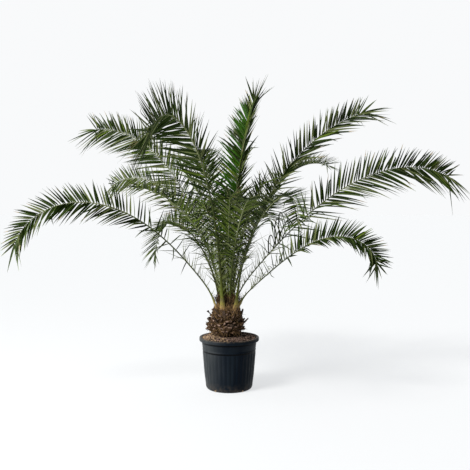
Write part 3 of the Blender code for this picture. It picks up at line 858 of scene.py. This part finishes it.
SHEATH_TAN = (0.330, 0.195, 0.075)
SHEATH_OLIVE = (0.190, 0.155, 0.032)
STALK_GREEN = (0.066, 0.080, 0.007)
sheath_skin, tree, shader = new_material("leaf_sheath", SHEATH_OLIVE, 0.7, 0.3)
SHEATH_STOPS = (
    (0.0, FIBRE_DARK),
    (0.25, FIBRE_BROWN),
    (0.50, SHEATH_TAN),
    (0.80, SHEATH_OLIVE),
    (0.97, STALK_GREEN),
)
colour = graded(tree, "share", SHEATH_STOPS)
threads = blotches(tree, 150, 0.40, 0.66, stretch=(1, 1, 0.15))
colour = mixed(tree, product(tree, threads, 0.75), colour, FIBRE_BROWN)
tree.links.new(colour, shader.inputs["Base Color"])
bumped(tree, shader, threads, 0.6, 0.0012)
cover(sheaths, sheath_skin)
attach(sheaths, "root")
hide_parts("trunk")


def web_places():
    """Torn fibre that crosses between the sheaths in Vs, close against them."""
    chance = random.Random(12)
    for _ in range(WEB_STRANDS):
        azimuth = chance.uniform(0, math.tau)
        share = chance.triangular(0.50, 1.26, 0.98)
        away = outward(azimuth)
        radius = trunk_radius(min(1, share)) + chance.uniform(0.004, 0.022)
        at = trunk_middle(TRUNK_FOOT + TRUNK_HEIGHT * share) + away * radius
        slant = chance.choice((-1, 1)) * chance.uniform(0.35, 1.1)
        length = chance.uniform(*WEB_LENGTH)
        along = UP + UP.cross(away) * slant + away * chance.gauss(0, 0.12)
        thick = STRAND_RADIUS * chance.uniform(1.2, 2.8)
        yield Place(at, along, away, Vector((thick, thick, length)), -away * length * 0.15)


def collar_places():
    """Dark old fibre that stands up between the stalks, out of the middle of the trunk's top."""
    chance = random.Random(5)
    for _ in range(COLLAR_STRANDS):
        away = outward(chance.uniform(0, math.tau))
        radius = OUTER.radius * math.sqrt(chance.random()) * 0.86
        height = INNER.height - 0.50 * radius + chance.uniform(-0.02, 0.01)
        at = Vector((TRUNK_TOP_X, 0, height)) + away * radius
        along = UP + away * chance.gauss(0.25, 0.2) + UP.cross(away) * chance.gauss(0, 0.25)
        length = chance.uniform(*COLLAR_LENGTH)
        thick = STRAND_RADIUS * chance.uniform(2.0, 5.0)
        yield Place(at, along, away, Vector((thick, thick, length)), away * length * 0.1)


strand = strand_copy()
webs = set_out("sheath_webs", web_places(), strand, fibre)
collar = set_out("collar_strands", collar_places(), strand, fibrous("collar_fibre", OLD_FIBRE))
bpy.data.objects.remove(strand)
for piece in (webs, collar):
    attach(piece, "root")
    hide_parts("trunk")

# The stalks and ribs: each frond hangs on one tough green stalk, channelled on its upper face,
# that narrows to a fine yellowish rib. They arch over, and most twist to show their upper face.
STALK_SHARE = 0.20
STALK_TAPER = 0.56
RIB_END = 0.0018
RIB_THICKNESS = 0.72
RIB_STEP = 0.024
RIB_SIDES = 12


def half_width(frond, share):
    """Quick to narrow above the seat, then even to the tip."""
    even = frond.ring.stalk * STALK_TAPER
    even += (RIB_END - even) * share**0.7
    return even + (frond.ring.stalk - frond.ring.stalk * STALK_TAPER) * math.exp(-share / 0.05)


def rib_stations(frond):
    steps = math.ceil(frond.length / RIB_STEP)
    place = seat_of(frond)
    stations = [(place, frame_at(frond, 0), 0.0)]
    for i in range(steps):
        place = place + frame_at(frond, (i + 0.5) / steps).col[2] * frond.length / steps
        share = (i + 1) / steps
        stations.append((place, frame_at(frond, share), share))
    return stations


def rib_outline(frond):
    def outline(share):
        half = half_width(frond, share)
        deep = half * RIB_THICKNESS
        leafy = ease(share, STALK_SHARE * 0.6, STALK_SHARE * 1.6)
        points = []
        for i in range(RIB_SIDES):
            turn = math.tau * i / RIB_SIDES
            x, y = math.cos(turn), math.sin(turn)
            if y > 0:
                channel = 0.50 * (1 - leafy) * (1 - abs(x)) - 0.35 * leafy * (1 - abs(x))
                points.append((half * x, deep * (0.60 * y - channel)))
            else:
                points.append((half * x, deep * y))
        return points

    return outline


RIBS = {frond.name: rib_stations(frond) for frond in FRONDS}
stalk_shape = bmesh.new()
stalk_share = stalk_shape.verts.layers.float.new("share")
for frond in FRONDS:
    sweep_along(stalk_shape, RIBS[frond.name], rib_outline(frond), stalk_share)
stalks = shape_piece("stalks_and_ribs", stalk_shape, 70)

RIB_YELLOW = (0.190, 0.210, 0.100)
RIB_TIP = (0.150, 0.180, 0.070)
RIB_DARK = (0.042, 0.058, 0.014)
STALK_PAINTED_SHADE = (0.024, 0.032, 0.004)
STALK_SPECK = (0.070, 0.075, 0.018)
stalk_skin, tree, shader = new_material("stalk_skin", STALK_GREEN, 0.5, 0.12)
# Painted shade: at 0.12 of its length each stalk is darkened, for the shade that the crown casts on it.
STALK_STOPS = (
    (0.0, SHEATH_OLIVE),
    (0.035, STALK_GREEN),
    (0.12, STALK_PAINTED_SHADE),
    (0.40, RIB_DARK),
    (0.60, RIB_YELLOW),
    (1.0, RIB_TIP),
)
colour = graded(tree, "share", STALK_STOPS)
specks = blotches(tree, 60, 0.52, 0.75, stretch=(1, 1, 0.4))
colour = mixed(tree, product(tree, specks, 0.5), colour, STALK_SPECK)
tree.links.new(colour, shader.inputs["Base Color"])
bumped(tree, shader, blotches(tree, 300, 0.3, 0.7, stretch=(1, 1, 0.3)), 0.3, 0.0005)
cover(stalks, stalk_skin)
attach(stalks, "root")
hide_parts(*FROND_NODES)

# The spines: the lowest leaflets of each frond are stiff green needles, set at odd angles along
# both edges of the stalk in ones and twos, and longer towards the leafy part.
SPINE_LENGTH = (0.045, 0.205)
SPINE_RADIUS = 0.0016
SPINE_STEP = 0.024
SPINES_FROM = 0.07
SPINE_LIFT = (38, 24)  # degrees out of the rib's face: the middle value and the spread
SPINE_LEAN = (40, 68)  # degrees from the rib
SPINE_GREEN = (0.120, 0.145, 0.035)
SPINE_DARK = (0.110, 0.130, 0.030)


def spine_copy():
    shape = rod(5, 1, 0.04, cap_tris=True)
    bmesh.ops.translate(shape, verts=shape.verts, vec=(0, 0, 0.5))
    for vertex in shape.verts:
        vertex.co.x *= 1.5
    return unit_copy("spine", shape)


def place_on(frond, share):
    """Where the rib is at a share of its length, and its axes there."""
    stations = RIBS[frond.name]
    step = min(len(stations) - 2, int(share * (len(stations) - 1)))
    low, high = stations[step], stations[step + 1]
    left_over = share * (len(stations) - 1) - step
    return low[0].lerp(high[0], left_over), frame_at(frond, share)


def leaning(axes, side, lift, lean):
    """A direction to one side of a rib, lifted out of its face and leant over towards its tip."""
    across = Vector((side * math.cos(lift), math.sin(lift), 0)) * math.sin(lean)
    return axes @ (across + UP * math.cos(lean))


def spine_places():
    chance = random.Random(21)
    for frond in FRONDS:
        for side in (-1, 1):
            distance = SPINES_FROM
            while distance < frond.length * (STALK_SHARE + 0.02):
                share = distance / frond.length
                at, axes = place_on(frond, share)
                at = at + axes.col[0] * side * half_width(frond, share) * 0.85
                grown = share / STALK_SHARE
                length = SPINE_LENGTH[0] + (SPINE_LENGTH[1] - SPINE_LENGTH[0]) * grown
                length *= chance.uniform(0.5, 1.2)
                lift = math.radians(chance.gauss(*SPINE_LIFT))
                lean = math.radians(chance.uniform(*SPINE_LEAN))
                along = leaning(axes, side, lift, lean)
                thick = SPINE_RADIUS * chance.uniform(0.8, 1.3) * (1 + 0.4 * grown)
                bend = UP * -length * chance.uniform(0, 0.12)
                yield Place(at, along, axes.col[1], Vector((thick, thick, length)), bend)
                distance += SPINE_STEP * chance.choice((0.35, 1.0, 1.6))


spine = spine_copy()
spine_skin = mottled("spine_skin", 0.45, 0.4, 30, SPINE_DARK, SPINE_GREEN)[0]
spines = set_out("stalk_spines", spine_places(), spine, spine_skin)
bpy.data.objects.remove(spine)
smooth(spines, 50)
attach(spines, "root")
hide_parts(*FROND_NODES)

# The leaflets: long narrow blades folded along their middle into a V that opens upwards, in loose
# groups along both edges of each rib. They arch over under their weight, and a few are kinked.
YOUNG = ("young_front", "young_left", "young_right", "front_young_left", "front_young_right")
LEAFLET_STEP = (0.0320, 0.0175)
LEAFLET_HALF_WIDTH = 0.0090
LEAFLET_SWELL = (0.80, 0.35)
LEAFLET_FALL = 0.12  # how much shorter the leaflets are at the tip of most fronds
SHORT_TIPS = {"left_low": 0.22, "right_low": 0.30}
LEAFLET_SAG = 0.30
LEAN_LATE = 5  # how late along the frond the leaflets close in on the rib
LIFT_FALL = 0.5  # how much less they stand up out of the rib's face at its tip
GROUP_LIFTS = (-10, 0, 10)  # degrees
HANGING_LONGER = 0.14  # in the lower row of a frond that is turned on its side
TIP_FAN = 0.12  # the length of the brush at a frond's tip
NEAT_TIPS = {"left_low": 0.3}  # how far these fan out beside the other fronds
ODD_SHARE = {"sparse": 0.35, "crowded": 0.50, "young": 0.90}  # of the leafy part
ODD_STEP = {"sparse": 1.1, "crowded": -0.40, "young": -0.40}
LEAFY_FROM = {"sparse": STALK_SHARE, "crowded": 0.15, "young": 0.08}  # of the frond's length
ODD_LEAN = 22  # degrees that the odd ones stand further from the rib
LEAN_ERRORS = (3, 16)  # degrees: all along the frond, and what is added for the odd ones
LIFT_ERRORS = (4, 28, 30)  # the same, and what is added in the brush at the tip
TWIST_ERROR = 22
HUDDLED = 0.55  # how much shorter and closer the leaflets are below the leafy part
BLADE_STEPS = 8
BLADE_WIDEST = 0.20
BLADE_FOOT = 0.6
BLADE_FOLD = 0.55
BLADE_THICKNESS = 0.035
KINK = 0.55  # of a kinked blade's length
PAST_KINK = (0.25, -14)  # how much it still goes on and drops, for its length and its half width
KINKED_SHARE = 0.05
KINKED_ODD = 0.45
DRY_SHARE = 0.06


def foot_of(frond):
    """Whether the leaflets at a frond's foot are sparse, or crowded in the middle of the crown."""
    if frond.name in YOUNG:
        return "young"
    return "sparse" if frond.ring is OUTER or frond.name == "right_long" else "crowded"


def leafy_share(share):
    """How far along its leafy part a frond is; below 0 on its stalk."""
    return (share - STALK_SHARE) / (1 - STALK_SHARE)


def oddness(frond, leafy):
    """The lowest leaflets are thin and at odd angles: from 1 or more, to 0 where that has ended."""
    return max(0, 1 - leafy / ODD_SHARE[foot_of(frond)])


def leaflet_length(frond, share):
    leafy = leafy_share(share)
    first, full = LEAFLET_SWELL
    if leafy < full:
        return frond.leaflet * (first + (1 - first) * math.sin(math.pi / 2 * leafy / full))
    fall = SHORT_TIPS.get(frond.name, LEAFLET_FALL)
    return frond.leaflet * (1 - fall * ((leafy - full) / (1 - full)) ** 1.5)


def blade_copy(kink, dry_from):
    """A leaflet of half width 1 and length 1, closed, with its V opening along +Y."""
    shape = bmesh.new()
    cut = shape.faces.layers.bool.new("cut")
    rings = []
    for i in range(BLADE_STEPS + 1):
        t = i / BLADE_STEPS
        if t < BLADE_WIDEST:
            half = BLADE_FOOT + (1 - BLADE_FOOT) * math.sin(math.pi / 2 * t / BLADE_WIDEST)
        else:
            half = max(0.03, 1 - ((t - BLADE_WIDEST) / (1 - BLADE_WIDEST)) ** 1.5)
        fold = BLADE_FOLD * (1.5 - 0.6 * t)
        z, drop = t, 0
        if kink and t > kink:
            z, drop = kink + (t - kink) * PAST_KINK[0], (t - kink) * PAST_KINK[1]
        edge, middle = fold * half, BLADE_THICKNESS
        corners = ((-half, edge), (0, -middle), (half, edge), (0, middle))
        rings.append([shape.verts.new((x, y + drop, z)) for x, y in corners])
    rows, end = skin(shape, rings)
    for row in rows[dry_from:]:
        for face in row:
            face[cut] = True
    end[cut] = dry_from < BLADE_STEPS
    return unit_copy("blade", shape)


def leaflet_place(frond, share, side, chance):
    at, axes = place_on(frond, share)
    at = at + axes.col[0] * side * half_width(frond, share) * 0.8
    leafy = leafy_share(share)
    odd = oddness(frond, leafy)
    neat = NEAT_TIPS.get(frond.name, 1)
    lean = frond.ring.lean + (frond.fan * (1 + neat) / 2 - frond.ring.lean) * leafy**LEAN_LATE
    lean += ODD_LEAN * odd + chance.gauss(0, LEAN_ERRORS[0] + LEAN_ERRORS[1] * odd)
    brush = ease(leafy, 1 - TIP_FAN / frond.length, 1) * neat
    lean = math.radians(lean * (HUDDLED if leafy < 0 else 1 - brush * chance.uniform(-0.6, 0.9)))
    lift = frond.lift * (1 - LIFT_FALL * leafy**2) + chance.choice(GROUP_LIFTS) * (1 - 0.5 * leafy)
    error = LIFT_ERRORS[0] + LIFT_ERRORS[1] * odd + LIFT_ERRORS[2] * brush
    lift = math.radians(lift + chance.gauss(0, error))
    along = leaning(axes, side, lift, lean).normalized()
    length = leaflet_length(frond, share) * chance.uniform(0.86, 1.08)
    length *= 1 - HANGING_LONGER * side * math.sin(math.radians(frond.roll))
    length *= HUDDLED if leafy < 0 else 1
    sag = LEAFLET_SAG * length * length * chance.uniform(0.5, 1.5)
    sideways = along.cross(axes.col[1]).normalized() * chance.gauss(0, 0.03) * length
    upper = Matrix.Rotation(math.radians(chance.gauss(0, TWIST_ERROR)), 3, along) @ axes.col[1]
    half = LEAFLET_HALF_WIDTH * (0.4 + 2.4 * length) * chance.uniform(0.85, 1.1)
    half *= frond.narrower * (1 - 0.5 * odd)
    size = Vector((half, half, length))
    return Place(at, along, upper, size, sideways - UP * sag)


TINTS = {
    "deep": (0.0140, 0.0290, 0.0020),
    "middle": (0.0490, 0.0800, 0.0170),
    "olive": (0.1350, 0.1620, 0.0600),
    "fresh": (0.0980, 0.1500, 0.0140),
    "vivid": (0.0230, 0.0780, 0.0025),
}
DEALT = {
    "older": {"deep": 0.46, "middle": 0.26, "olive": 0.24, "fresh": 0.04},
    "shaded": {"deep": 0.16, "middle": 0.34, "olive": 0.40, "fresh": 0.10},
    "newer": {"deep": 0.42, "middle": 0.08, "olive": 0.24, "fresh": 0.26},
    "newest": {"deep": 0.24, "middle": 0.04, "olive": 0.02, "fresh": 0.10, "vivid": 0.60},
}
AGES = {name: "newer" for name in YOUNG}
AGES.update(right_small="shaded", left_middle="shaded", left_drooping="shaded", back_high="newest")
VIVID_BACKLIT_SHARE = 0.90  # how far up the newest frond its left row is vivid green: the young frond's own colour, kept to that row as painted light shining through it
DRY_TIP = (0.320, 0.245, 0.120)
DRY_TIP_DARK = (0.150, 0.105, 0.050)
DRY_TIP_FLAT = (0.300, 0.230, 0.110)


def deal_leaflets():
    """All the leaflets, by tint and by kind of blade."""
    chance = random.Random(11)
    dealt = {(tint, kind): [] for tint in TINTS for kind in ("plain", "kinked", "dry")}
    for frond in FRONDS:
        age = AGES.get(frond.name, "older")
        for side in (-1, 1):
            distance = frond.length * LEAFY_FROM[foot_of(frond)]
            while distance < frond.length:
                place = leaflet_place(frond, distance / frond.length, side, chance)
                leafy = leafy_share(distance / frond.length)
                # Painted light: on the newest frond only the left row, which the light shines through,
                # is dealt the vivid green; the other row is dealt as older.
                vivid = side > 0 and leafy < VIVID_BACKLIT_SHARE
                weights = DEALT["older" if age == "newest" and not vivid else age]
                tint = chance.choices(list(weights), list(weights.values()))[0]
                roll = chance.random()
                odd = oddness(frond, leafy)
                kinked = KINKED_SHARE + KINKED_ODD * min(1, odd)
                kind = "kinked" if roll < kinked else "dry" if roll < kinked + DRY_SHARE else "plain"
                dealt[tint, kind].append(place)
                step = LEAFLET_STEP[0] + (LEAFLET_STEP[1] - LEAFLET_STEP[0]) * leafy
                step *= 1 + ODD_STEP[foot_of(frond)] * odd
                distance += step * chance.choice((0.75, 1.0, 1.25)) / frond.denser
        place = leaflet_place(frond, 1.0, chance.choice((-1, 1)), chance)
        dealt["middle", "plain"].append(place._replace(along=frame_at(frond, 1.0).col[2]))
    return dealt


dry_tip = mottled("dry_tip", 0.8, 0.2, 50, DRY_TIP_DARK, DRY_TIP, flat=DRY_TIP_FLAT)[0]
blades = {
    "plain": blade_copy(0, BLADE_STEPS),
    "kinked": blade_copy(KINK, BLADE_STEPS),
    "dry": blade_copy(0, BLADE_STEPS - 2),
}
leaflets = deal_leaflets()
for tint, colour in TINTS.items():
    darker = tuple(channel * 0.62 for channel in colour)
    green, tree, shader = mottled(f"leaflet_{tint}", 0.48, 0.09, 7, darker, colour, detail=2)
    bumped(tree, shader, blotches(tree, 240, 0.3, 0.7, detail=2), 0.25, 0.0004)
    for kind, blade in blades.items():
        piece = set_out(f"leaflets_{tint}_{kind}", leaflets[tint, kind], blade, green, dry_tip)
        smooth(piece, 40)
        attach(piece, "root")
        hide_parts(*FROND_NODES)
for blade in blades.values():
    bpy.data.objects.remove(blade)

# The coiled leaflets: a few thin ones low on the long right frond were held at their tips while it
# opened. They dried in narrow loops that stand up from the rib and fall back to it.
COILED_HALF_WIDTH = 0.0058
COILED_STEPS = 22
COILED_APART = 0.022  # how far outwards each loop comes down
COILED_SLANT = 0.007  # how much it faces outwards for that
COILED = (  # share of the frond's length, side, the loop's height and width, how far it comes round
    (0.200, 1, 0.110, 0.075, 1.10),
    (0.222, -1, 0.130, 0.060, 1.05),
    (0.236, 1, 0.170, 0.095, 1.05),
    (0.246, -1, 0.140, 0.115, 1.15),
    (0.258, 1, 0.190, 0.085, 1.05),
    (0.268, -1, 0.080, 0.170, 1.00),
)
COILED_GREEN = (0.036, 0.046, 0.012)
COILED_DARK = (0.016, 0.022, 0.004)
COILED_FLAT = (0.024, 0.034, 0.006)


def coiled_stations(frond, share, side, height, width, round_by):
    """Up from the rib, over and back towards it, with the loop's plane leaning outwards."""
    foot, axes = place_on(frond, share)
    out = axes.col[0] * side
    onward = axes.col[2] * width / 2
    upright = (UP + out * 0.3).normalized() * height
    stations = []
    for i in range(COILED_STEPS + 1):
        t = i / COILED_STEPS
        turn = math.pi * round_by * t
        at = foot + upright * math.sin(turn) + onward * (1 - math.cos(turn))
        at += out * COILED_APART * t
        ahead = upright * math.cos(turn) + onward * math.sin(turn) + out * COILED_SLANT
        ahead.normalize()
        across = ahead.cross(out).normalized()
        stations.append((at, Matrix((across, ahead.cross(across), ahead)).transposed(), t))
    return stations


def coiled_outline(t):
    half = COILED_HALF_WIDTH * (1 - 0.8 * t**2)
    return [(-half, 0), (0, -half * 0.5), (half, 0), (0, half * 0.15)]


coiled_shape = bmesh.new()
coiled_frond = next(frond for frond in FRONDS if frond.name == "right_long")
for loop in COILED:
    sweep_along(coiled_shape, coiled_stations(coiled_frond, *loop), coiled_outline)
coiled = shape_piece("coiled_leaflets", coiled_shape, 60)
coiled_colours = (COILED_DARK, COILED_GREEN)
cover(coiled, mottled("coiled_skin", 0.5, 0.12, 40, *coiled_colours, flat=COILED_FLAT)[0])
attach(coiled, "root")
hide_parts(*FROND_NODES)

# The spear: the newest frond, still folded shut, straight up out of the middle of the crown. Its
# leaflets lie packed round its rib, pale yellow-green, with their tips just coming free.
SPEAR_LENGTH = 0.85
SPEAR_FOOT = Vector((TRUNK_TOP_X, 0, INNER.height))
SPEAR_BLADES = 46
SPEAR_PACKED = 0.62  # how far up its length the blades are rooted
SPEAR_BLADE_LENGTH = 0.42
SPEAR_BLADE_WIDTH = 0.0065
YOUNG_GREEN = (0.200, 0.235, 0.075)
YOUNG_DARK = (0.120, 0.155, 0.045)


def spear_places():
    chance = random.Random(31)
    for i in range(SPEAR_BLADES):
        share = i / SPEAR_BLADES * SPEAR_PACKED
        away = outward(i * BOOT_TURN)
        length = min(SPEAR_BLADE_LENGTH, SPEAR_LENGTH * (1 - share))
        at = SPEAR_FOOT + UP * SPEAR_LENGTH * share + away * 0.003
        along = UP + away * chance.uniform(0.004, 0.022)
        half = SPEAR_BLADE_WIDTH * chance.uniform(0.8, 1.1)
        bend = away * length * chance.uniform(0, 0.03)
        yield Place(at, along, -away, Vector((half, half, length)), bend)


blade = blade_copy(0, BLADE_STEPS)
young_skin = mottled("spear_skin", 0.45, 0.4, 12, YOUNG_DARK, YOUNG_GREEN)[0]
spear = set_out("spear_leaf", spear_places(), blade, young_skin)
bpy.data.objects.remove(blade)
smooth(spear, 40)
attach(spear, "root")
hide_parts("frond_spear")

# The studio: a pale floor that fades into a pale surround, soft light from all round, and a soft
# sun from the upper left in front. The camera looks slightly down from pot height and beyond.
FLOOR_SIZE = 60
FLOOR_GREY = (0.250, 0.256, 0.262)
FLOOR_GLOW = (0.95, 0.965, 0.98, 1)
PALE = (0.945, 0.955, 0.965)
DIM = (0.12, 0.125, 0.135)
SUN_TOWARDS = (0.9, 0.85, -1.35)
SOFTBOX_PLACE = (-4.2, -2.4, 1.1)
SOFTBOX_TOWARDS = (4.2, 2.4, -0.2)


def aim(lamp, towards):
    lamp.rotation_euler = Vector(towards).to_track_quat("-Z", "Y").to_euler()


floor_mesh = bpy.data.meshes.new("floor")
corners = ((-1, -1), (1, -1), (1, 1), (-1, 1))
floor_mesh.from_pydata([(x * FLOOR_SIZE, y * FLOOR_SIZE, 0) for x, y in corners], [], [(0, 1, 2, 3)])
floor = new_object("floor", floor_mesh)
floor_paint, tree, shader = new_material("floor_paint", FLOOR_GREY, 1.0, 0.0)
shader.inputs["Emission Color"].default_value = FLOOR_GLOW
shader.inputs["Emission Strength"].default_value = 0.68
cover(floor, floor_paint)

world = bpy.data.worlds.new("studio")
bpy.context.scene.world = world
world.use_nodes = True
tree = world.node_tree
toward = add_node(tree, "ShaderNodeTexCoord").outputs["Generated"]
toward = add_node(tree, "ShaderNodeSeparateXYZ", {"Vector": toward}).outputs
sides = {0: toward["Y"], 1: product(tree, toward["X"], -0.6)}
bright = add_node(tree, "ShaderNodeMath", sides, operation="ADD").outputs[0]
light = mixed(tree, ranged(tree, bright, -0.5, 0.7), DIM, PALE)
looked_at = add_node(tree, "ShaderNodeLightPath").outputs["Is Camera Ray"]
light = mixed(tree, looked_at, light, PALE)
tree.links.new(light, tree.nodes["Background"].inputs["Color"])

sun_light = bpy.data.lights.new("sun", "SUN")
sun_light.energy = 3.0
sun_light.angle = math.radians(20)
sun_light.color = (1.0, 0.97, 0.92)
aim(new_object("sun", sun_light), SUN_TOWARDS)

softbox = bpy.data.lights.new("softbox", "AREA")
softbox.shape = "RECTANGLE"
softbox.size = 2.0
softbox.size_y = 3.0
softbox.energy = 230
lamp = new_object("softbox", softbox)
lamp.location = SOFTBOX_PLACE
aim(lamp, SOFTBOX_TOWARDS)

CAMERA_PLACE = (0.045, -5.5, 1.46)
CAMERA_DOWN = 2.87  # degrees
lens = bpy.data.cameras.new("camera")
lens.lens = 55
lens.sensor_width = 36
camera = new_object("camera", lens)
camera.location = CAMERA_PLACE
camera.rotation_euler = (math.radians(90 - CAMERA_DOWN), 0, 0)
bpy.context.scene.camera = camera
bpy.context.scene.view_settings.view_transform = "Standard"
